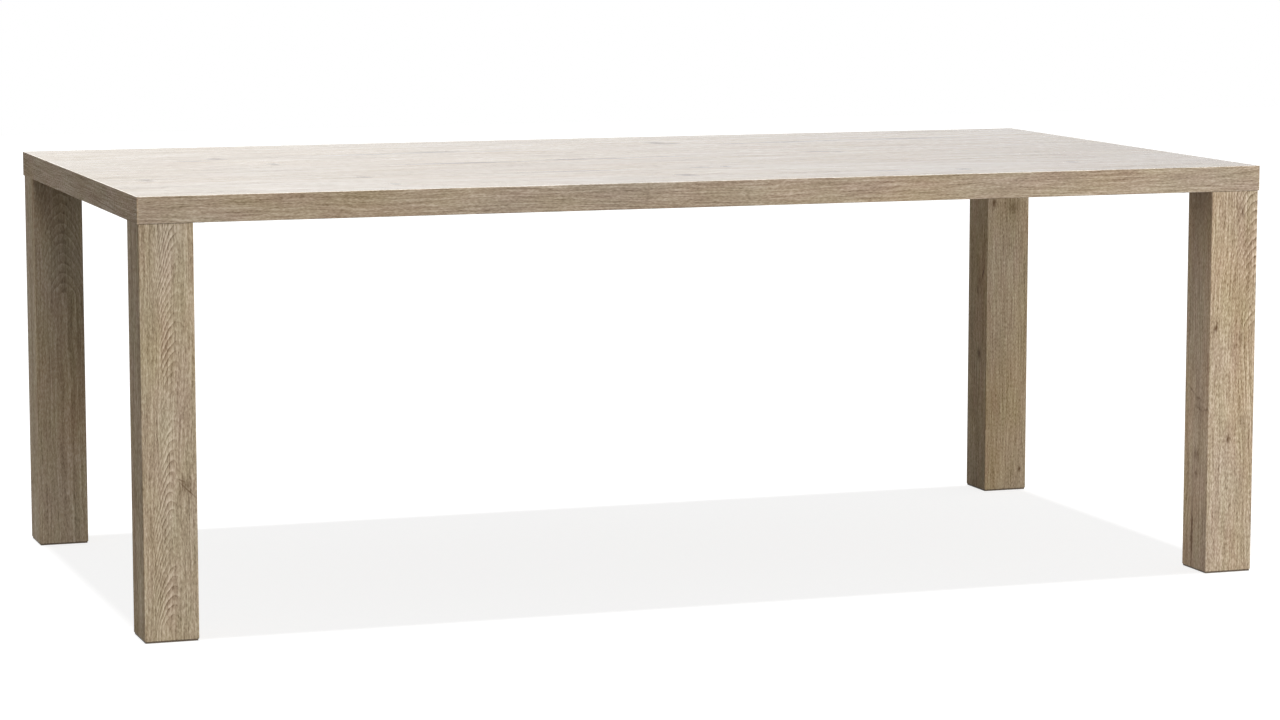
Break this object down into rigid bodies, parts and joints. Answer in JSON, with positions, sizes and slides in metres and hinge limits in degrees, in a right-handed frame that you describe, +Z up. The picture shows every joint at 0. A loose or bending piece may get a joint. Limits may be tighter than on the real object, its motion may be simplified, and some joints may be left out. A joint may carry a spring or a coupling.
{
  "type": "parsons dining table",
  "caption": "Rectangular dining table with a thick oak-look slab top and square box legs flush with its corners, for seating people on all sides.",
  "frame": {"origin": "middle of the table's outline, at floor level", "axes": "+X along the length to the right as seen from the front long side, +Y from the front long side to the rear, +Z up"},
  "size_m": [2.1, 1.1, 0.76],
  "materials": {
    "top_decor": "oak-grain decor with a satin face",
    "edge_decor": "oak-grain edge band, satin",
    "leg_decor": "oak-grain decor with upright grain, satin",
    "backing_decor": "plain oak-toned backing sheet, matt",
    "frame_wood": "raw chipboard strip",
    "block_wood": "raw chipboard",
    "dowel_wood": "plain beech",
    "kraft_paper": "brown kraft paper",
    "plate_steel": "black powder coat",
    "zinc_steel": "bright zinc plate",
    "pad_plastic": "dark brown plastic"
  },
  "bodies": {
    "root": {"bottom_board": "backing_decor", "cross_batten_1": "frame_wood", "cross_batten_2": "frame_wood", "cross_batten_3": "frame_wood", "foot_pad_screws": "zinc_steel", "frame_dowels": "dowel_wood", "front_edge_band": "edge_decor", "front_left_corner_block": "block_wood", "front_left_foot_pad": "pad_plastic", "front_left_leg_foot_block": "block_wood", "front_left_leg_front_panel": "leg_decor", "front_left_leg_left_panel": "leg_decor", "front_left_leg_rear_panel": "leg_decor", "front_left_leg_right_panel": "leg_decor", "front_left_leg_top_block": "block_wood", "front_left_mounting_plate": "plate_steel", "front_rail": "frame_wood", "front_right_corner_block": "block_wood", "front_right_foot_pad": "pad_plastic", "front_right_leg_foot_block": "block_wood", "front_right_leg_front_panel": "leg_decor", "front_right_leg_left_panel": "leg_decor", "front_right_leg_rear_panel": "leg_decor", "front_right_leg_right_panel": "leg_decor", "front_right_leg_top_block": "block_wood", "front_right_mounting_plate": "plate_steel", "honeycomb_bay_1": "kraft_paper", "honeycomb_bay_2": "kraft_paper", "honeycomb_bay_3": "kraft_paper", "honeycomb_bay_4": "kraft_paper", "left_edge_band": "edge_decor", "left_rail": "frame_wood", "plate_bolts": "zinc_steel", "plate_screws": "zinc_steel", "rear_edge_band": "edge_decor", "rear_left_corner_block": "block_wood", "rear_left_foot_pad": "pad_plastic", "rear_left_leg_foot_block": "block_wood", "rear_left_leg_front_panel": "leg_decor", "rear_left_leg_left_panel": "leg_decor", "rear_left_leg_rear_panel": "leg_decor", "rear_left_leg_right_panel": "leg_decor", "rear_left_leg_top_block": "block_wood", "rear_left_mounting_plate": "plate_steel", "rear_rail": "frame_wood", "rear_right_corner_block": "block_wood", "rear_right_foot_pad": "pad_plastic", "rear_right_leg_foot_block": "block_wood", "rear_right_leg_front_panel": "leg_decor", "rear_right_leg_left_panel": "leg_decor", "rear_right_leg_rear_panel": "leg_decor", "rear_right_leg_right_panel": "leg_decor", "rear_right_leg_top_block": "block_wood", "rear_right_mounting_plate": "plate_steel", "right_edge_band": "edge_decor", "right_rail": "frame_wood", "threaded_inserts": "zinc_steel", "top_board": "top_decor"}
  },
  "joints": []
}
